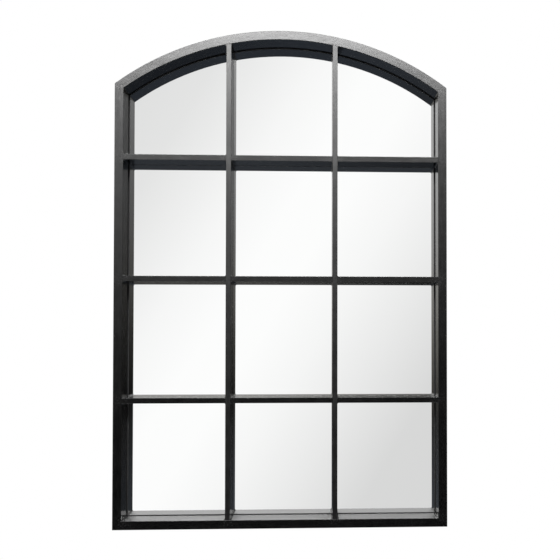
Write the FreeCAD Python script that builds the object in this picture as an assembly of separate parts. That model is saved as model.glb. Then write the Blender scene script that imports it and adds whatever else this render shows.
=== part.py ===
import FreeCAD, Part
import math
import os

# Arched window mirror: a welded frame of rectangular steel tube, divided like a
# window into panes by thinner bars, with one arched sheet of mirror glass behind.
#
# Millimetres.  X runs to the right as the mirror is seen on the wall, Y runs from
# the viewer to the wall, and Z is up.  The origin is the bottom centre of the
# mirror's bounding box, halfway between the front faces and the wall.

V = FreeCAD.Vector
X_AXIS = V(1, 0, 0)
Y_AXIS = V(0, 1, 0)
Z_AXIS = V(0, 0, 1)

# ---------------------------------------------------------------- driving sizes
frame_width = 609.6           # 24 in over the stiles
frame_height = 914.4          # 36 in to the crown of the arch
arch_rise = 101.6             # 4 in from the shoulders to the crown

frame_face = 16.0             # width of the outer tube, seen from the front
frame_depth = 57.0            # depth of the outer tube, front to back
frame_wall = 1.5
frame_edge_round = 0.6        # long edges of the outer tube
shoulder_round = 2.5          # outer corner where the arch meets a stile

mullion_face = 9.0            # width of the upright window bars
crossbar_face = 10.0          # height of the level ones
bar_wall = 1.2
bar_edge_round = 0.4
column_count = 3              # panes side by side
crossbar_rows = 3
pane_height = 212.4           # clear height of each row of panes below the arch

weld_radius = 2.5             # fillet weld in the inside corners of the panes
weld_setback = 0.8            # the welds start behind the ground front faces

glass_thickness = 4.0
tape_thickness = 1.0
board_thickness = 3.0
button_gap = 0.3              # from the board to the turn buttons over it
sheet_edge_gap = 1.5          # round the edge of the glass and of the board

tape_width = 25.0
tape_strips = 5
tape_pitch = 110.0
tape_end_margin = 30.0        # from a strip's end to the edge of the glass

button_width = 11.0
button_thickness = 1.5
button_reach = 24.0           # from the pivot to the tip over the board
button_tail = 6.5             # from the pivot to the other end
button_edge_round = 0.3
stile_button_margin = 200.0   # from the bottom, and from the shoulder of the arch
bottom_button_offset = 130.0  # from the middle of the mirror
arch_button_angle = 17.0      # degrees from the crown, about the arch's centre

screw_radius = 2.1            # shank of the turn buttons' screws
screw_bite = 9.0              # length of shank behind the frame's back face
screw_tip_length = 3.0
head_radius = 4.0
head_height = 2.2
head_round = 1.2
recess_length = 4.4           # cross recess in the screw heads
recess_width = 1.0
recess_depth = 1.3
washer_radius = 4.6
washer_thickness = 0.5
running_clearance = 0.05      # radial, round every shank and pivot

hanger_drop = 70.0            # from the upper bumpers down to the rings' pivots
hanger_inset = 9.5            # from the outer edge of the stile to the ring's middle
plate_width = 9.0
plate_thickness = 1.2
plate_drop = 11.5             # from the ring's pivot to the lower end of the plate
plate_end_round = 3.0
plate_screw_drop = 6.8        # from the ring's pivot to the plate's screw
curl_slit = 0.6               # gap left where the plate's curled end closes
hanger_screw_radius = 1.75
hanger_head_radius = 3.3
hanger_head_height = 1.8
hanger_head_round = 0.9
ring_wire_radius = 1.25
ring_width = 15.0             # between the centre lines of the ring's two arms
ring_corner_radius = 2.5
ring_arm_length = 15.0

bumper_radius = 6.0
bumper_thickness = 5.0
bumper_edge_round = 0.8
bumper_drop = 40.0            # from the shoulder of the arch to the upper bumpers

# ---------------------------------------------------------------- derived sizes
half_width = frame_width / 2.0
front_y = -(frame_depth + bumper_thickness) / 2.0
back_y = front_y + frame_depth
bar_depth = frame_depth - glass_thickness - tape_thickness - board_thickness - button_gap
glass_y = front_y + bar_depth
tape_y = glass_y + glass_thickness
board_y = tape_y + tape_thickness

arch_radius = (half_width ** 2 + arch_rise ** 2) / (2.0 * arch_rise)
arch_centre_z = frame_height - arch_radius
member_centre = frame_face / 2.0
clear_width = frame_width - 2.0 * frame_face
pane_width = (clear_width - (column_count - 1) * mullion_face) / column_count
shoulder_height = frame_height - arch_rise
margin = 50.0                 # how far cutting shapes run past the frame

stile_button_heights = {"lower": stile_button_margin, "upper": shoulder_height - stile_button_margin}
bumper_heights = {"lower": member_centre, "upper": shoulder_height - bumper_drop}
hanger_height = bumper_heights["upper"] - hanger_drop


def arch_z(x, inset):
    """Height of the arch, moved inwards by inset, above the place x."""
    return arch_centre_z + math.sqrt((arch_radius - inset) ** 2 - x ** 2)


def prism(points, y_start, y_end):
    """Closed outline of (x, z) points, pushed from y_start to y_end."""
    corners = [V(x, y_start, z) for x, z in points]
    face = Part.Face(Part.makePolygon(corners + corners[:1]))
    return face.extrude(V(0, y_end - y_start, 0))


def box(x_low, x_high, y_low, y_high, z_low, z_high):
    corner = V(x_low, y_low, z_low)
    return Part.makeBox(x_high - x_low, y_high - y_low, z_high - z_low, corner)


def arched_sheet(inset, y_start, y_end):
    """Solid with the mirror's arched outline, moved inwards by inset."""
    side = half_width - inset
    left_foot = V(-side, y_start, inset)
    right_foot = V(side, y_start, inset)
    right_shoulder = V(side, y_start, arch_z(side, inset))
    crown = V(0, y_start, frame_height - inset)
    left_shoulder = V(-side, y_start, arch_z(side, inset))
    edges = [
        Part.LineSegment(left_foot, right_foot).toShape(),
        Part.LineSegment(right_foot, right_shoulder).toShape(),
        Part.Arc(right_shoulder, crown, left_shoulder).toShape(),
        Part.LineSegment(left_shoulder, left_foot).toShape(),
    ]
    return Part.Face(Part.Wire(edges)).extrude(V(0, y_end - y_start, 0))


def edges_along(shape, direction):
    """Straight edges that run along a direction."""
    found = []
    for edge in shape.Edges:
        if isinstance(edge.Curve, Part.Line) and edge.Curve.Direction.cross(direction).Length < 1e-6:
            found.append(edge)
    return found


def edges_at_y(shape, y):
    """Edges that lie flat at one depth."""
    return [e for e in shape.Edges if abs(e.BoundBox.YMin - y) < 1e-6 and abs(e.BoundBox.YMax - y) < 1e-6]


def group(solids):
    return Part.makeCompound(solids)


# ---------------------------------------------------------------- outer frame
def solid_ring():
    """The outer frame as one square-edged ring, before it is cut at the mitres."""
    outside = arched_sheet(0.0, front_y, back_y)
    shoulders = [e for e in edges_along(outside, Y_AXIS) if abs(e.CenterOfMass.z - shoulder_height) < 1e-3]
    outside = outside.makeFillet(shoulder_round, shoulders)
    return outside.cut(arched_sheet(frame_face, front_y, back_y))


def ring_void():
    """The hollow inside the four tubes."""
    void_front = front_y + frame_wall
    void_back = back_y - frame_wall
    void = arched_sheet(frame_wall, void_front, void_back)
    return void.cut(arched_sheet(frame_face - frame_wall, void_front, void_back))


def outline_edges(member, outlines):
    """Long edges of a length of tube, without the short ones on its mitres."""
    found = []
    for edge in edges_at_y(member, front_y) + edges_at_y(member, back_y):
        middle = Part.Vertex(edge.valueAt((edge.FirstParameter + edge.LastParameter) / 2.0))
        if middle.distToShape(outlines)[0] < 1e-3:
            found.append(edge)
    return found


def mitre_regions():
    """Wedges that meet on the mitre lines, one for each length of tube."""
    inner_shoulder = arch_z(half_width - frame_face, frame_face)
    slope = (shoulder_height - inner_shoulder) / frame_face
    outer_x = half_width + margin
    mitre_end = shoulder_height + margin * slope
    mitre_apex = shoulder_height - half_width * slope
    foot_apex = half_width
    top = frame_height + margin
    outlines = {
        "arch_tube": [(-outer_x, mitre_end), (0, mitre_apex), (outer_x, mitre_end),
                      (outer_x, top), (-outer_x, top)],
        "left_stile_tube": [(-outer_x, -margin), (0, foot_apex), (0, mitre_apex), (-outer_x, mitre_end)],
        "right_stile_tube": [(outer_x, -margin), (0, foot_apex), (0, mitre_apex), (outer_x, mitre_end)],
        "bottom_rail_tube": [(-outer_x, -margin), (outer_x, -margin), (0, foot_apex)],
    }
    return {name: prism(points, front_y - margin, back_y + margin) for name, points in outlines.items()}


def frame_members():
    ring = solid_ring()
    void = ring_void()
    outlines = Part.makeCompound([f for f in ring.Faces if abs(f.normalAt(0, 0).y) < 1e-6])
    holes = [wall_hole(x, z, screw_radius + running_clearance) for x, z in button_pivots().values()]
    for x in hanger_places().values():
        hole_z = hanger_height - plate_screw_drop
        holes.append(wall_hole(x, hole_z, hanger_screw_radius + running_clearance))
    members = {}
    for name, region in mitre_regions().items():
        member = ring.common(region)
        member = member.makeFillet(frame_edge_round, outline_edges(member, outlines))
        members[name] = member.cut(void).cut(holes).Solids[0]
    return members


def wall_hole(x, z, radius):
    """Screw hole through the back wall of the tube."""
    return Part.makeCylinder(radius, 2.0 * frame_wall, V(x, back_y - 1.5 * frame_wall, z), Y_AXIS)


# ---------------------------------------------------------------- window bars
def bar(x_low, x_high, z_low, z_high, direction):
    """Rectangular tube between two places, open at both ends."""
    y_back = front_y + bar_depth
    outside = box(x_low, x_high, front_y, y_back, z_low, z_high)
    outside = outside.makeFillet(bar_edge_round, edges_along(outside, direction))
    thin_x = bar_wall if direction == Z_AXIS else 0.0
    thin_z = bar_wall if direction == X_AXIS else 0.0
    inside = box(x_low + thin_x, x_high - thin_x, front_y + bar_wall, y_back - bar_wall,
                 z_low + thin_z, z_high - thin_z)
    return outside.cut(inside)


def mullion_centres():
    first = -half_width + frame_face + pane_width + mullion_face / 2.0
    return [first + i * (pane_width + mullion_face) for i in range(column_count - 1)]


def crossbar_heights():
    first = frame_face + pane_height + crossbar_face / 2.0
    return [first + i * (pane_height + crossbar_face) for i in range(crossbar_rows)]


def column_spans():
    """Left and right limits of each column of panes."""
    first = -half_width + frame_face
    return [(first + i * (pane_width + mullion_face), first + i * (pane_width + mullion_face) + pane_width)
            for i in range(column_count)]


def row_spans():
    """Lower and upper limits of each row of panes; the top row ends at the arch."""
    bounds = []
    low = frame_face
    for centre in crossbar_heights():
        bounds.append((low, centre - crossbar_face / 2.0))
        low = centre + crossbar_face / 2.0
    bounds.append((low, frame_height))
    return bounds


def mullions():
    """Upright bars: one length each, from the bottom rail to the arch."""
    opening = arched_sheet(frame_face, front_y, back_y)
    nodes = {}
    for name, x in zip(("left_mullion", "right_mullion"), mullion_centres()):
        upright = bar(x - mullion_face / 2.0, x + mullion_face / 2.0, frame_face, frame_height, Z_AXIS)
        nodes[name] = upright.common(opening).Solids[0]
    return nodes


def crossbars():
    """Level bars: short lengths set between the uprights and the stiles."""
    nodes = {}
    for row, z in zip(("lower", "middle", "upper"), crossbar_heights()):
        for column, (x_low, x_high) in zip(("left", "centre", "right"), column_spans()):
            name = row + "_" + column + "_crossbar"
            nodes[name] = bar(x_low, x_high, z - crossbar_face / 2.0, z + crossbar_face / 2.0, X_AXIS)
    return nodes


def pane_corner_welds():
    """Fillet welds that fill the inside corners of every pane."""
    y_start = front_y + weld_setback
    y_end = front_y + bar_depth - weld_setback
    opening = arched_sheet(frame_face, y_start, y_end)
    welds = []
    for x_low, x_high in column_spans():
        for z_low, z_high in row_spans():
            pane = opening.common(box(x_low, x_high, y_start, y_end, z_low, z_high)).Solids[0]
            rounded = pane.makeFillet(weld_radius, edges_along(pane, Y_AXIS))
            welds.extend(pane.cut(rounded).Solids)
    return group(welds)


# ---------------------------------------------------------------- mirror and back
def mirror_glass():
    return arched_sheet(frame_face + sheet_edge_gap, glass_y, tape_y)


def backing_board():
    return arched_sheet(frame_face + sheet_edge_gap, board_y, board_y + board_thickness)


def mounting_tape():
    """Upright strips of foam tape between the glass and the board."""
    strips = []
    foot = frame_face + sheet_edge_gap + tape_end_margin
    for i in range(tape_strips):
        x = (i - (tape_strips - 1) / 2.0) * tape_pitch
        outer_edge = abs(x) + tape_width / 2.0
        top = arch_z(outer_edge, frame_face + sheet_edge_gap) - tape_end_margin
        strips.append(box(x - tape_width / 2.0, x + tape_width / 2.0, tape_y, board_y, foot, top))
    return group(strips)


def edge_gasket():
    """Rubber strip all round, which centres the glass and the board in the frame."""
    y_end = board_y + board_thickness
    outside = arched_sheet(frame_face, glass_y, y_end)
    return outside.cut(arched_sheet(frame_face + sheet_edge_gap, glass_y, y_end)).Solids[0]


# ---------------------------------------------------------------- turn buttons
def button_pivots():
    """Pivot of each turn button on the middle line of the frame's back face."""
    side_x = half_width - member_centre
    places = {}
    for side, sign in (("left", -1), ("right", 1)):
        for level, z in stile_button_heights.items():
            places[side + "_" + level + "_turn_button"] = (sign * side_x, z)
        places["bottom_" + side + "_turn_button"] = (sign * bottom_button_offset, member_centre)
        angle = math.radians(sign * arch_button_angle)
        reach = arch_radius - member_centre
        places["arch_" + side + "_turn_button"] = (reach * math.sin(angle), arch_centre_z + reach * math.cos(angle))
    return places


def inward_turn(name):
    """Degrees about the Y axis that turn a button's tip from +X over the board."""
    if name.startswith("left"):
        return 0.0
    if name.startswith("right"):
        return 180.0
    if name.startswith("bottom"):
        return -90.0
    side = -1 if "left" in name else 1
    return 90.0 + side * arch_button_angle


def turn_button(name, x, z):
    """Stamped steel button with round ends, lying flat on the frame's back."""
    half = button_width / 2.0
    tip = button_reach - half
    tail = button_tail - half
    strip = box(-tail, tip, 0, button_thickness, -half, half)
    strip = strip.fuse(Part.makeCylinder(half, button_thickness, V(tip, 0, 0), Y_AXIS))
    strip = strip.fuse(Part.makeCylinder(half, button_thickness, V(-tail, 0, 0), Y_AXIS)).removeSplitter()
    strip = strip.makeFillet(button_edge_round, edges_at_y(strip, button_thickness))
    pivot_radius = screw_radius + running_clearance
    strip = strip.cut(Part.makeCylinder(pivot_radius, button_thickness, V(0, 0, 0), Y_AXIS))
    strip.rotate(V(0, 0, 0), Y_AXIS, inward_turn(name))
    strip.translate(V(x, back_y, z))
    return strip.Solids[0]


def turn_buttons():
    return {name: turn_button(name, x, z) for name, (x, z) in button_pivots().items()}


def pan_head_screw(x, z, seat_y, radius, head, height, rounding):
    """Self-tapping screw: pan head on seat_y, its point inside the hollow tube."""
    top = Part.makeCylinder(head, height, V(0, seat_y, 0), Y_AXIS)
    top = top.makeFillet(rounding, edges_at_y(top, seat_y + height))
    tip_y = back_y - screw_bite
    shank = Part.makeCylinder(radius, seat_y - tip_y - screw_tip_length, V(0, tip_y + screw_tip_length, 0), Y_AXIS)
    point = Part.makeCone(0.0, radius, screw_tip_length, V(0, tip_y, 0), Y_AXIS)
    screw = top.fuse([shank, point]).removeSplitter()
    low = seat_y + height - recess_depth
    high = seat_y + height
    for length, width in ((recess_length, recess_width), (recess_width, recess_length)):
        screw = screw.cut(box(-length / 2.0, length / 2.0, low, high, -width / 2.0, width / 2.0))
    screw.translate(V(x, 0, z))
    return screw.Solids[0]


def turn_button_washers():
    seat_y = back_y + button_thickness
    washers = []
    for x, z in button_pivots().values():
        washer = Part.makeCylinder(washer_radius, washer_thickness, V(x, seat_y, z), Y_AXIS)
        bore = Part.makeCylinder(screw_radius + running_clearance, washer_thickness, V(x, seat_y, z), Y_AXIS)
        washers.append(washer.cut(bore).Solids[0])
    return group(washers)


def turn_button_screws():
    seat_y = back_y + button_thickness + washer_thickness
    return group([pan_head_screw(x, z, seat_y, screw_radius, head_radius, head_height, head_round)
                  for x, z in button_pivots().values()])


# ---------------------------------------------------------------- wall hangers
curl_inner_radius = ring_wire_radius + running_clearance
curl_outer_radius = curl_inner_radius + plate_thickness
ring_pivot_y = back_y + curl_outer_radius


def hanger_places():
    x = half_width - hanger_inset
    return {"left": -x, "right": x}


def hanger_plate(x):
    """Strap with a screw hole; its upper end is curled round the ring."""
    half = plate_width / 2.0
    foot = hanger_height - plate_drop
    strap = box(x - half, x + half, back_y, back_y + plate_thickness, foot, hanger_height)
    corners = [e for e in edges_along(strap, Y_AXIS) if abs(e.CenterOfMass.z - foot) < 1e-3]
    strap = strap.makeFillet(plate_end_round, corners)
    pivot = V(x - half, ring_pivot_y, hanger_height)
    curl = Part.makeCylinder(curl_outer_radius, plate_width, pivot, X_AXIS)
    plate = strap.fuse(curl)
    plate = plate.cut(Part.makeCylinder(curl_inner_radius, plate_width, pivot, X_AXIS))
    slit_low = hanger_height - 2.0 * curl_outer_radius
    slit_front = back_y + plate_thickness
    plate = plate.cut(box(x - half, x + half, slit_front, slit_front + curl_slit, slit_low, hanger_height))
    hole_z = hanger_height - plate_screw_drop
    hole = Part.makeCylinder(hanger_screw_radius + running_clearance, plate_thickness, V(x, back_y, hole_z), Y_AXIS)
    return plate.cut(hole).Solids[0]


def quarter_torus(centre, start, radius, wire, turn):
    """Bend of round wire in the XZ plane: start is the spoke where it begins."""
    circle = Part.Wire(Part.makeCircle(wire, centre + start * radius, start.cross(Y_AXIS)))
    return Part.Face(circle).revolve(centre, Y_AXIS, turn)


def hanging_ring(x):
    """D-shaped ring of round wire, hanging down from its straight leg."""
    arm_x = ring_width / 2.0
    corner = ring_corner_radius
    bend_z = hanger_height - corner
    bow_z = bend_z - ring_arm_length
    leg_length = ring_width - 2.0 * corner
    leg_start = V(x - arm_x + corner, ring_pivot_y, hanger_height)
    parts = [Part.makeCylinder(ring_wire_radius, leg_length, leg_start, X_AXIS)]
    for side in (-1, 1):
        arm_foot = V(x + side * arm_x, ring_pivot_y, bow_z)
        parts.append(Part.makeCylinder(ring_wire_radius, ring_arm_length, arm_foot, Z_AXIS))
        bend_centre = V(x + side * (arm_x - corner), ring_pivot_y, bend_z)
        parts.append(quarter_torus(bend_centre, Z_AXIS, corner, ring_wire_radius, side * 90.0))
    parts.append(quarter_torus(V(x, ring_pivot_y, bow_z), X_AXIS, arm_x, ring_wire_radius, 180.0))
    return parts[0].fuse(parts[1:]).removeSplitter().Solids[0]


def hanger_screws():
    seat_y = back_y + plate_thickness
    z = hanger_height - plate_screw_drop
    return group([pan_head_screw(x, z, seat_y, hanger_screw_radius, hanger_head_radius,
                                 hanger_head_height, hanger_head_round)
                  for x in hanger_places().values()])


def wall_bumpers():
    """Soft discs on the frame's back that keep the mirror off the wall."""
    x = half_width - member_centre
    bumpers = []
    for side in (-1, 1):
        for z in bumper_heights.values():
            disc = Part.makeCylinder(bumper_radius, bumper_thickness, V(side * x, back_y, z), Y_AXIS)
            bumpers.append(disc.makeFillet(bumper_edge_round, edges_at_y(disc, back_y + bumper_thickness)))
    return group(bumpers)


# ---------------------------------------------------------------- assembly
nodes = {}
nodes.update(frame_members())
nodes.update(mullions())
nodes.update(crossbars())
nodes["pane_corner_welds"] = pane_corner_welds()
nodes["mirror_glass"] = mirror_glass()
nodes["mounting_tape"] = mounting_tape()
nodes["backing_board"] = backing_board()
nodes["edge_gasket"] = edge_gasket()
nodes.update(turn_buttons())
nodes["turn_button_washers"] = turn_button_washers()
nodes["turn_button_screws"] = turn_button_screws()
for side_name, side_x in hanger_places().items():
    nodes[side_name + "_hanger_plate"] = hanger_plate(side_x)
    nodes[side_name + "_hanging_ring"] = hanging_ring(side_x)
nodes["hanger_screws"] = hanger_screws()
nodes["wall_bumpers"] = wall_bumpers()

os.makedirs("parts", exist_ok=True)
for node_name, node_shape in nodes.items():
    node_shape.exportStep(os.path.join("parts", node_name + ".step"))
    bounds = node_shape.optimalBoundingBox()
    print(node_name, len(node_shape.Solids), "solids", node_shape.isValid(), round(node_shape.Volume, 1),
          "x", round(bounds.XMin, 2), round(bounds.XMax, 2), "y", round(bounds.YMin, 2), round(bounds.YMax, 2),
          "z", round(bounds.ZMin, 2), round(bounds.ZMax, 2))
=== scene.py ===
# %% Load the frame
import math

import bpy
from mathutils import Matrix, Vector


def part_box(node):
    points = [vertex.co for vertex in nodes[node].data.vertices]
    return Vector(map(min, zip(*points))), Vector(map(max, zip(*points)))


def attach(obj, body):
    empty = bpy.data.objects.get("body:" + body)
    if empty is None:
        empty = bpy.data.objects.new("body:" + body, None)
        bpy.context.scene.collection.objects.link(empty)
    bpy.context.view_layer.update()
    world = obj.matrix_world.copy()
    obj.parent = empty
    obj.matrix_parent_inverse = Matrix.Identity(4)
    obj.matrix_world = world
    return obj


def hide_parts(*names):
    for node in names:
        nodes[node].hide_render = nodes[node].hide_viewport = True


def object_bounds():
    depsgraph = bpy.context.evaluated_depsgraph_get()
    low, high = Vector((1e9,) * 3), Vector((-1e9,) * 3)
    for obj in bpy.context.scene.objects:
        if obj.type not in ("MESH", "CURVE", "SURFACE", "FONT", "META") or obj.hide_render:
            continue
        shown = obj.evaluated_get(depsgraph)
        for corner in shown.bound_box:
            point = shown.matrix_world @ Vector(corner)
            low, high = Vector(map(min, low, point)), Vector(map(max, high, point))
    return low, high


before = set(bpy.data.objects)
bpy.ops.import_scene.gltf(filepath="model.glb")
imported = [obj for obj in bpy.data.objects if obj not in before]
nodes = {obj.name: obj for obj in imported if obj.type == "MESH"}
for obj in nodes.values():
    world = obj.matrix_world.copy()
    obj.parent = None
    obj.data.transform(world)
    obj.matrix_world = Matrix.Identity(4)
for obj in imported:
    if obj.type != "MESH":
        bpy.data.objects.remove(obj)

frame_box = [list(corner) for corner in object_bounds()]
print("frame:", len(nodes), "pieces, from", frame_box[0], "to", frame_box[1])

# %% [markdown]
# # An arched window mirror
# The mirror hangs on a wall and looks like a small iron window: an arched frame of
# deep steel tube, slim bars that divide it into twelve panes, and one sheet of mirror
# glass behind the bars. The tubes, bars, glass, board and fittings are already
# modelled to size. This lesson gives each of them its finish and sets up the studio.
#
# Everything is in metres. X runs to the right, Y from the viewer to the wall, Z up.
#
# ## Where the joints are
# Paint looks different over a ground weld, so the places of the joints are measured
# from the bars themselves. They could be typed in, but then they would be wrong as
# soon as a pane changed its size.

# %% Measure the joints
def middle(node, axis):
    low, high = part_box(node)
    return (low[axis] + high[axis]) / 2


mullion_x = middle("right_mullion", 0)
crossbar_z = [middle(row + "_centre_crossbar", 2) for row in ("lower", "middle", "upper")]
stile_inner_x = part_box("right_stile_tube")[0].x
stile_middle_x = middle("right_stile_tube", 0)
rail_top_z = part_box("bottom_rail_tube")[1].z
shoulder_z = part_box("right_stile_tube")[1].z
mullion_top_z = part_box("right_mullion")[1].z
crown_z = frame_box[1][2]
front_y = frame_box[0][1]
print("mullions at", round(mullion_x, 4), "crossbars at", [round(z, 4) for z in crossbar_z])

# %% [markdown]
# The arch is part of a circle. Its centre follows from the width and the rise, and
# the brush marks of the arch run round that centre.

# %% Find the arch's circle
half_width = frame_box[1][0]
arch_rise = crown_z - shoulder_z
arch_radius = (half_width**2 + arch_rise**2) / (2 * arch_rise)
arch_centre_z = crown_z - arch_radius
print("arch radius", round(arch_radius, 4), "centre at", round(arch_centre_z, 4))

# %% [markdown]
# ## Sums with sockets
# A finish is worked out by small nodes that are wired together. Written as plain
# sums they are easier to read, so a `Wire` stands for a socket and knows what + - * /
# mean: each adds a Math node.

# %% A wire that can be added and multiplied
class Wire:
    """An output socket of a node tree."""

    def __init__(self, bench, socket):
        self.bench = bench
        self.socket = socket

    def sum(self, operation, first, second):
        return self.bench.node("Math", {"operation": operation}, {0: first, 1: second})

    def __add__(self, other):
        return self.sum("ADD", self, other)

    def __radd__(self, other):
        return self.sum("ADD", other, self)

    def __sub__(self, other):
        return self.sum("SUBTRACT", self, other)

    def __rsub__(self, other):
        return self.sum("SUBTRACT", other, self)

    def __mul__(self, other):
        return self.sum("MULTIPLY", self, other)

    def __rmul__(self, other):
        return self.sum("MULTIPLY", other, self)


# %% [markdown]
# A `Bench` holds one node tree. Every other node is laid on it by one method, which
# takes the node's type, its settings and what its sockets get.

# %% A bench that nodes are laid on
class Bench:
    """The node tree of one material or of the world."""

    def __init__(self, tree):
        self.tree = tree
        tree.nodes.clear()

    def node(self, kind, settings=None, sockets=None, output=0):
        made = self.tree.nodes.new("ShaderNode" + kind)
        for name, value in (settings or {}).items():
            if name == "stops":
                self.set_stops(made.color_ramp, value)
            else:
                setattr(made, name, value)
        for name, value in (sockets or {}).items():
            if isinstance(value, Wire):
                self.tree.links.new(value.socket, made.inputs[name])
            else:
                made.inputs[name].default_value = value
        return Wire(self, made.outputs[output]) if made.outputs else made

    def set_stops(self, ramp, stops):
        while len(ramp.elements) < len(stops):
            ramp.elements.new(1.0)
        for element, (place, colour) in zip(ramp.elements, stops):
            element.position = place
            element.color = colour

    def place(self):
        return self.node("TexCoord", output="Object")

    def split(self, vector):
        """The three parts of a vector."""
        made = self.node("SeparateXYZ", sockets={0: vector})
        return [Wire(self, out) for out in made.socket.node.outputs]

    def join(self, x, y, z):
        return self.node("CombineXYZ", sockets={0: x, 1: y, 2: z})

    def length(self, vector):
        return self.node("VectorMath", {"operation": "LENGTH"}, {0: vector}, output="Value")

    def stretch(self, vector, scale):
        return self.node("Mapping", sockets={"Vector": vector, "Scale": scale})

    def noise(self, vector, size, detail=3, rough=0.55):
        """Soft random blotches of about a size in metres, from 0 to 1."""
        return self.node("TexNoise", {"normalize": True},
                         {"Vector": vector, "Scale": 1 / size, "Detail": detail, "Roughness": rough})

    def fade(self, value, start, end):
        """Turns smoothly from 0 to 1 while a value goes from start to end."""
        return self.node("MapRange", {"interpolation_type": "SMOOTHSTEP"},
                         {"Value": value, 1: start, 2: end, 3: 0.0, 4: 1.0})

    def ramp(self, value, stops):
        """Looks a value up among colours, each with its place from 0 to 1."""
        return self.node("ValToRGB", {"stops": stops}, {"Fac": value})

    def above(self, value, limit):
        """1 where a value is above a limit, else 0."""
        return self.node("Math", {"operation": "GREATER_THAN"}, {0: value, 1: limit})

    def below(self, value, limit):
        """1 where a value is below a limit, else 0."""
        return self.node("Math", {"operation": "LESS_THAN"}, {0: value, 1: limit})

    def size_of(self, value):
        return self.node("Math", {"operation": "ABSOLUTE"}, {0: value})

    def least(self, values):
        result = values[0]
        for value in values[1:]:
            result = self.node("Math", {"operation": "MINIMUM"}, {0: result, 1: value})
        return result

    def blend(self, factor, first, second):
        """Mixes two colours."""
        return self.node("Mix", {"data_type": "RGBA"}, {0: factor, 6: first, 7: second}, output=2)

    def bump(self, height, depth, onto=None):
        """Turns a height from 0 to 1 into a relief, depth metres high."""
        sockets = {"Height": height, "Distance": depth}
        if onto is not None:
            sockets["Normal"] = onto
        return self.node("Bump", sockets=sockets)


# %% [markdown]
# Each finish is one material, and most CAD pieces share theirs with others. A piece
# keeps its mesh and only gets the finish in its slots.

# %% Materials, and pieces that wear them
def new_material(name):
    material = bpy.data.materials.new(name)
    material.use_nodes = True
    return material, Bench(material.node_tree)


def finish_with(bench, sockets):
    """Ends a material with its Principled surface."""
    surface = bench.node("BsdfPrincipled", sockets=sockets)
    bench.node("OutputMaterial", sockets={"Surface": surface})


def give(material, *names):
    """Puts a material on CAD pieces."""
    for name in names:
        slots = nodes[name].material_slots
        for slot in slots:
            slot.material = material


def grey(value):
    return (value, value, value, 1.0)


# %% [markdown]
# ## The camera
# The photograph was taken from a little below the middle of the mirror, and slightly
# to its right. The distances come from the outline of the frame and the edges of the
# panes in the picture. Part of the framing is done by shifting the lens and not by
# turning the camera, because a turned camera makes the lines of the frame lean more.

# %% Set up the camera
image_width = 560
focal_pixels = 896.4
sensor_width = 36.0
camera_distance = 1.6485
camera_right = 0.0662
camera_height = 0.3455
turn_right = 2.9490
tilt_up = 1.2693
lens_shift_right = -0.15
lens_shift_up = 0.07

camera_data = bpy.data.cameras.new("photo_camera")
camera_data.sensor_width = sensor_width
camera_data.lens = focal_pixels / image_width * sensor_width
camera_data.shift_x = lens_shift_right
camera_data.shift_y = lens_shift_up
camera = bpy.data.objects.new("photo_camera", camera_data)
camera.location = (camera_right, front_y - camera_distance, camera_height)
camera.rotation_euler = (math.radians(90 + tilt_up), 0, math.radians(-turn_right))
bpy.context.scene.collection.objects.link(camera)
bpy.context.scene.camera = camera
print("camera", [round(c, 3) for c in camera.location], "lens", round(camera_data.lens, 1))

# %% [markdown]
# ## The studio
# Three things look at the studio, and each gets its own answer. The camera sees plain
# white round the mirror. The mirror sees a backdrop that is only nearly white. The
# paint sees the room: bright above and behind, a little brighter to the left than to
# the right, and dark low in front, so that satin black stays black at the bottom.
# Light Path tells them apart.

# %% Start the world
world = bpy.data.worlds.new("studio")
bpy.context.scene.world = world
world.use_nodes = True
bench = Bench(world.node_tree)
dir_x, dir_y, dir_z = bench.split(bench.node("TexCoord", output="Generated"))

path = bench.node("LightPath").socket.node.outputs
seen_by_camera = Wire(bench, path["Is Camera Ray"])
off_the_mirror = Wire(bench, path["Is Singular Ray"])
few_bounces = bench.below(Wire(bench, path["Ray Depth"]), 2.5)
seen_in_mirror = off_the_mirror * few_bounces
print("world:", world.name)

# %% [markdown]
# The panes aren't one flat white. A slanted band of the backdrop is clean white, and
# both sides of it are a little grey, so each pane gets its own soft gradient.

# %% Paint the backdrop
band_angle = math.radians(32)
band_reach = 0.4
band = dir_x * math.cos(band_angle) - dir_z * math.sin(band_angle)
band_place = bench.node("MapRange", sockets={"Value": band, 1: -band_reach, 2: band_reach, 3: 0.0, 4: 1.0})
band_stops = [
    (0.0, grey(0.70)), (0.19, grey(0.79)), (0.30, grey(0.945)), (0.37, grey(1.0)), (0.43, grey(1.0)),
    (0.50, grey(0.94)), (0.58, grey(0.835)), (0.67, grey(0.70)), (1.0, grey(0.66))]
backdrop_tone = bench.ramp(band_place, band_stops)
print("backdrop:", len(band_stops), "tones")

# %% [markdown]
# Glossy black paint shows what it reflects and hardly any colour of its own. So the
# room in front is a gradient from a dark floor to a bright ceiling, which the stiles
# show as a fade from grey to black. The first two reflections find the low part
# darker still, and those that went to and fro between the bars and the mirror find
# the right side dimmer.

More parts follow.
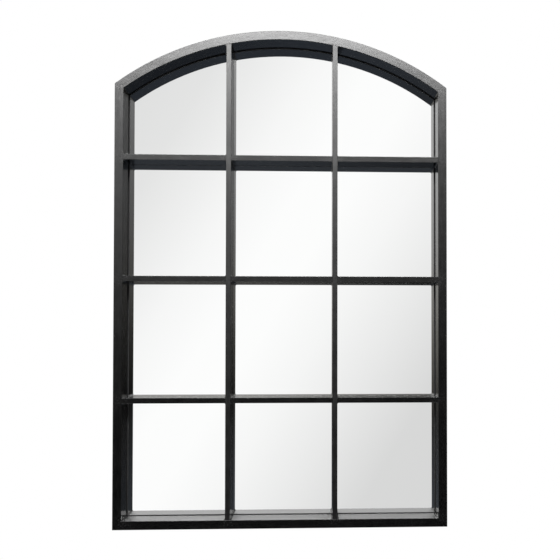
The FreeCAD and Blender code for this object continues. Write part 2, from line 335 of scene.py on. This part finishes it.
# %% Paint the room
height = dir_z * 0.5 + 0.5
low_stops = [
    (0.0, (0.08, 0.092, 0.11, 1)), (0.36, (0.085, 0.10, 0.125, 1)), (0.405, (0.07, 0.078, 0.09, 1))]
left_stops = [
    (0.455, grey(0.045)), (0.47, (0.08, 0.077, 0.070, 1)), (0.50, (0.22, 0.215, 0.20, 1)),
    (0.515, (0.34, 0.333, 0.31, 1)), (0.535, (0.46, 0.455, 0.44, 1)), (0.58, grey(0.66)),
    (0.615, grey(0.75)), (0.66, grey(0.9)), (1.0, grey(1.0))]
right_stops = [
    (0.455, grey(0.035)), (0.47, grey(0.012)), (0.50, (0.055, 0.053, 0.049, 1)),
    (0.535, (0.15, 0.147, 0.138, 1)), (0.58, grey(0.25)), (0.615, grey(0.36)),
    (0.72, grey(0.60)), (1.0, grey(0.9))]
back_stops = [(0.0, grey(0.35)), (0.5, grey(0.6)), (1.0, grey(0.9))]

low_dimming = 0.98
to_and_fro_dimming = 0.5
to_the_right = bench.fade(dir_x, -0.10, 0.15)
to_the_back = bench.fade(dir_y, -0.45, 0.25)
to_the_floor = bench.fade(dir_z, 0.16, -0.02)
front_room = bench.blend(to_the_right, bench.ramp(height, low_stops + left_stops),
                         bench.ramp(height, low_stops + right_stops))
to_and_fro = off_the_mirror * (1 - seen_in_mirror) * to_the_right
front_room = bench.blend(to_and_fro * to_and_fro_dimming, front_room, grey(0.0))
front_room = bench.blend(few_bounces * to_the_floor * low_dimming, front_room, grey(0.0))
room = bench.blend(to_the_back, front_room, bench.ramp(height, back_stops))
mirrored = bench.blend(seen_in_mirror, room, backdrop_tone)
seen = bench.blend(seen_by_camera, mirrored, grey(1.0))
sky = bench.node("Background", sockets={"Color": seen, "Strength": 1.0})
bench.node("OutputWorld", sockets={"Surface": sky})
print("room:", len(low_stops + left_stops), "tones left,", len(low_stops + right_stops), "right")

# %% [markdown]
# The key light is a wide, shallow softbox, high up behind the camera. Its lower edge
# is just above what the arch reflects to the camera, so the arch shines and the shine
# fades down the uprights. A second softbox lights the back.

# %% Hang the lamps
def softbox(name, place, aim, width, height, brightness):
    """An area lamp; brightness is what a camera would see on its face."""
    lamp = bpy.data.lights.new(name, "AREA")
    lamp.shape = "RECTANGLE"
    lamp.size = width
    lamp.size_y = height
    lamp.energy = brightness * math.pi * width * height
    holder = bpy.data.objects.new(name, lamp)
    holder.location = place
    holder.rotation_euler = (Vector(aim) - Vector(place)).to_track_quat("-Z", "Y").to_euler()
    holder.visible_camera = False
    bpy.context.scene.collection.objects.link(holder)
    print(name, "gives", round(lamp.energy, 1), "watts")


lamp_aim = (0, 0, 0.45)
softbox("key_light", (0.0, -3.03, 2.35), lamp_aim, width=3.0, height=0.72, brightness=15.0)
softbox("back_light", (0.9, 2.6, 1.9), lamp_aim, width=2.0, height=1.5, brightness=2.2)

# %% [markdown]
# The floor is far below, because the mirror hangs. It is plain and pale, and fades
# into the white backdrop where the camera sees it.

# %% Lay the floor
floor_z = -1.1
floor_radius = 2.4
floor_back = 0.4
floor_glow = 0.45
clear_radius = 0.5 * floor_radius
faded_radius = 0.97 * floor_radius
bpy.ops.object.select_all(action="DESELECT")
bpy.ops.mesh.primitive_circle_add(vertices=96, radius=floor_radius, fill_type="NGON",
                                  location=(0, floor_back, floor_z))
floor = bpy.context.object
floor.name = "studio_floor"
floor_paint, bench = new_material("studio_floor")
x, y = bench.split(bench.place())[:2]
from_middle = bench.length(bench.join(x, y, 0.0))
is_camera = Wire(bench, bench.node("LightPath").socket.node.outputs["Is Camera Ray"])
pale = bench.node("BsdfDiffuse", sockets={"Color": (0.78, 0.78, 0.77, 1)})
lift = bench.node("Emission", sockets={"Color": grey(1.0), "Strength": floor_glow * is_camera})
lit = bench.node("AddShader", sockets={0: pale, 1: lift})
white = bench.node("Emission", sockets={"Color": grey(1.0), "Strength": 1.0})
edge = bench.fade(from_middle, clear_radius, faded_radius) * is_camera
both = bench.node("MixShader", sockets={0: edge, 1: lit, 2: white})
bench.node("OutputMaterial", sockets={"Surface": both})
floor.data.materials.append(floor_paint)
print("floor at", floor_z)


# %% [markdown]
# ## Black paint on sanded steel
# The tubes were sanded lengthwise and sprayed satin black. Under the paint the sanding
# leaves fine lines along each tube, and each joint was welded and ground flat, which
# leaves a mottled patch. Both change how rough the paint is more than its colour.

# %% Where the welds were ground
patch_core = 0.006
patch_edge = 0.022


def weld_patches(bench, x, z):
    """1 on the joints of the frame, fading to 0 at the edge of the ground patch."""
    side = bench.size_of(x)
    to_upright = bench.least([bench.size_of(side - mullion_x), bench.size_of(side - stile_inner_x)])
    to_level = bench.least([bench.size_of(z - level) for level in crossbar_z + [rail_top_z]])
    crossing = bench.join(to_upright, to_level, 0.0)
    mullion_top = bench.join(side - mullion_x, z - mullion_top_z, 0.0)
    shoulder = bench.join(side - stile_middle_x, z - shoulder_z, 0.0)
    distances = [bench.length(spot) for spot in (crossing, mullion_top, shoulder)]
    return bench.fade(bench.least(distances), patch_edge, patch_core)


# %% [markdown]
# The lines have to run along each tube, and round the arch. One noise does for all of
# them once it is laid out along the tube, across it and into its depth. In the
# picture the front faces shine more softly than the insides, so the insides get less
# roughness. The relief is about a tenth of a millimetre, or less: it only breaks up
# the shine.

# %% Mix the paint
front_skin = 0.0008
unevenness = 0.10
weld_unevenness = 0.25
weld_speckle_level = 0.42
line_depth = 0.000009
spray_depth = 0.00011
weld_depth = 0.00007


def frame_paint(name, run, base_rough, inner_rough):
    """Satin black whose sanding lines follow the run of the tube."""
    material, bench = new_material(name)
    x, y, z = bench.split(bench.place())
    if run == "upright":
        across, along = x, z
    elif run == "level":
        across, along = z, x
    else:
        rise = z - arch_centre_z
        across = bench.length(bench.join(x, rise, 0.0))
        along = bench.node("Math", {"operation": "ARCTAN2"}, {0: x, 1: rise}) * arch_radius
    run_place = bench.join(across, y, along)
    weld = weld_patches(bench, x, z)
    lines = bench.noise(bench.stretch(run_place, (1, 1, 0.03)), 0.0007, 4, 0.6)
    streaks = bench.noise(bench.stretch(run_place, (1, 1, 0.12)), 0.004, 3)
    clouds = bench.noise(run_place, 0.018, 4, 0.6)
    speckle = bench.noise(run_place, 0.0035, 4, 0.65)
    rough = base_rough + bench.above(y, front_y + front_skin) * (inner_rough - base_rough)
    rough = rough + (streaks - 0.5) * unevenness + (clouds - 0.5) * unevenness
    rough = rough + weld * (speckle - weld_speckle_level) * weld_unevenness
    tone = bench.blend(clouds, (0.0010, 0.0011, 0.0012, 1), (0.0018, 0.0018, 0.0018, 1))
    relief = bench.bump(lines, line_depth)
    relief = bench.bump(clouds, spray_depth, onto=relief)
    relief = bench.bump(speckle * weld, weld_depth, onto=relief)
    finish_with(bench, {"Base Color": tone, "Roughness": rough, "IOR": 1.5, "Specular IOR Level": 1.0,
                        "Normal": relief})
    return material


# %% [markdown]
# In the picture the slim bars are a little brighter near the top than the stiles, and
# the top of the bottom rail is the palest inner face. Roughness spreads the shine of
# the softbox, so these two get more of it.

# %% Paint the tubes
ground_rough = 0.23
bar_rough = 0.31
inner_rough = 0.13
bar_inner_rough = 0.17
rail_top_rough = 0.42
rows = ("lower", "middle", "upper")
columns = ("left", "centre", "right")
crossbars = [row + "_" + column + "_crossbar" for row in rows for column in columns]
give(frame_paint("stile_paint", "upright", ground_rough, inner_rough),
     "left_stile_tube", "right_stile_tube")
give(frame_paint("bottom_rail_paint", "level", ground_rough, rail_top_rough), "bottom_rail_tube")
give(frame_paint("arch_paint", "arch", ground_rough, inner_rough), "arch_tube")
give(frame_paint("mullion_paint", "upright", bar_rough, bar_inner_rough),
     "left_mullion", "right_mullion", "pane_corner_welds")
give(frame_paint("crossbar_paint", "level", ground_rough, inner_rough), *crossbars)
print("painted 4 frame tubes, 2 mullions and", len(crossbars), "crossbars")

# %% [markdown]
# ## Mirror glass
# A mirror is clear glass with silver on its back. Through glass the silver looks
# nearer than it is: 4 mm of glass looks no more than 2.7 mm deep, and the thin line
# between each bar and its own image in the photograph asks for about 2 mm. The bars
# touch the glass. A sheet whose front lies that much further back gives the same
# line, without the cost of bent light.

# %% Set the silver back
glass_low, glass_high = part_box("mirror_glass")
silver_depth = 0.0021
silver_y = glass_low.y + silver_depth


def select_only(piece):
    bpy.ops.object.select_all(action="DESELECT")
    piece.select_set(True)
    bpy.context.view_layer.objects.active = piece


def copy_of(node, name):
    """A merged copy of a CAD piece, to be worked on."""
    piece = bpy.data.objects.new(name, nodes[node].data.copy())
    bpy.context.scene.collection.objects.link(piece)
    select_only(piece)
    bpy.ops.object.mode_set(mode="EDIT")
    bpy.ops.mesh.select_all(action="SELECT")
    bpy.ops.mesh.customdata_custom_splitnormals_clear()
    bpy.ops.mesh.remove_doubles(threshold=1e-6)
    bpy.ops.mesh.select_all(action="DESELECT")
    bpy.ops.object.mode_set(mode="OBJECT")
    return piece


silvered_glass = copy_of("mirror_glass", "silvered_glass")
for vertex in silvered_glass.data.vertices:
    vertex.select = vertex.co.y < silver_y
bpy.ops.object.mode_set(mode="EDIT")
bpy.ops.transform.translate(value=(0, silver_depth, 0))
bpy.ops.object.mode_set(mode="OBJECT")
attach(silvered_glass, "frame")
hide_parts("mirror_glass")
print("silver at", round(silver_y, 5))

# %% [markdown]
# Metal with no roughness at all shows a clean image. The edges of the sheet are green
# glass, and its back is grey protective paint.

# %% Silver the glass
face_margin = 0.0002
mirror, bench = new_material("mirror_glass")
y = bench.split(bench.place())[1]
front = bench.below(y, silver_y + face_margin)
back = bench.above(y, glass_high.y - face_margin)
paint_spots = bench.noise(bench.place(), 0.003)
rim = bench.blend(back, (0.05, 0.16, 0.12, 1), bench.blend(paint_spots, grey(0.16), grey(0.2)))
tone = bench.blend(front, rim, (0.975, 0.98, 0.976, 1))
finish_with(bench, {"Base Color": tone, "Metallic": front, "Roughness": (1 - front) * (0.15 + back * 0.4)})
silvered_glass.data.materials.clear()
silvered_glass.data.materials.append(mirror)
print("silvered:", silvered_glass.name)

# %% [markdown]
# ## The back
# Nobody sees it on the wall. The board is brown hardboard: wood fibres felted and
# pressed into a sheet, with short dark flecks of bark. Two noises that are drawn out
# upward give the felt, a third gives the flecks and a fourth faint clouds.

# %% Hardboard
felt_depth = 0.0001
hardboard, bench = new_material("brown_hardboard")
place = bench.place()
fibres = bench.noise(bench.stretch(place, (1, 1, 0.35)), 0.0016, 5, 0.7)
wisps = bench.noise(bench.stretch(place, (1, 1, 0.5)), 0.012, 5, 0.7)
flecks = bench.fade(bench.noise(place, 0.004, 4, 0.75), 0.58, 0.70)
clouds = bench.fade(bench.noise(place, 0.11, 4, 0.6), 0.35, 0.68)
tone = bench.blend(bench.fade(fibres, 0.3, 0.7), (0.115, 0.058, 0.028, 1), (0.33, 0.19, 0.105, 1))
tone = bench.blend(bench.fade(wisps, 0.35, 0.65) * 0.45, tone, (0.33, 0.20, 0.115, 1))
tone = bench.blend(clouds * 0.2, tone, (0.13, 0.068, 0.034, 1))
tone = bench.blend(flecks * 0.7, tone, (0.05, 0.025, 0.014, 1))
finish_with(bench, {"Base Color": tone, "Roughness": 0.58 + fibres * 0.22,
                    "Normal": bench.bump(fibres, felt_depth)})
give(hardboard, "backing_board")
print("board:", hardboard.name)


# %% [markdown]
# The buttons, screws and hangers are pressed steel with a thin coat of zinc: pale,
# slightly cloudy metal. Washers, tape and rubber each have one plain colour and a
# fine grain, so one function mixes all of them.

# %% Small fittings
mark_depth = 0.00001


def zinc():
    material, bench = new_material("zinc_plated_steel")
    place = bench.place()
    marks = bench.noise(bench.stretch(place, (1, 1, 0.1)), 0.0005, 4)
    clouds = bench.noise(place, 0.004, 3)
    tone = bench.blend(clouds, (0.33, 0.35, 0.37, 1), (0.52, 0.53, 0.53, 1))
    rough = 0.26 + clouds * 0.14 + marks * 0.06
    finish_with(bench, {"Base Color": tone, "Metallic": 1.0, "Roughness": rough,
                        "Normal": bench.bump(marks, mark_depth)})
    return material


grain_depth = 0.08


def plain_fitting(name, colour, other, rough, grain):
    """A plastic, foam or rubber with a fine grain; its depth is a share of its size."""
    material, bench = new_material(name)
    grit = bench.noise(bench.place(), grain, 4, 0.6)
    finish_with(bench, {"Base Color": bench.blend(grit, (*colour, 1), (*other, 1)),
                        "Roughness": rough + grit * 0.12, "Normal": bench.bump(grit, grain * grain_depth)})
    return material


turn_buttons = [name for name in nodes if name.endswith("_turn_button")]
give(zinc(), *turn_buttons, "turn_button_screws", "left_hanger_plate", "right_hanger_plate",
     "left_hanging_ring", "right_hanging_ring", "hanger_screws")
give(plain_fitting("natural_nylon", (0.66, 0.65, 0.60), (0.76, 0.75, 0.71), 0.38, 0.0012),
     "turn_button_washers")
give(plain_fitting("white_foam_tape", (0.70, 0.70, 0.66), (0.82, 0.82, 0.79), 0.8, 0.0008),
     "mounting_tape")
give(plain_fitting("black_rubber", (0.016, 0.016, 0.017), (0.03, 0.03, 0.031), 0.6, 0.0009),
     "edge_gasket")
give(plain_fitting("bumper_rubber", (0.03, 0.03, 0.03), (0.055, 0.055, 0.055), 0.7, 0.0007),
     "wall_bumpers")
print("fittings:", len(turn_buttons), "turn buttons, two hangers, washers, tape, gasket and bumpers")

# %% [markdown]
# ## Colours
# The colours are shown as they are written.

# %% Finish
bpy.context.scene.view_settings.view_transform = "Standard"
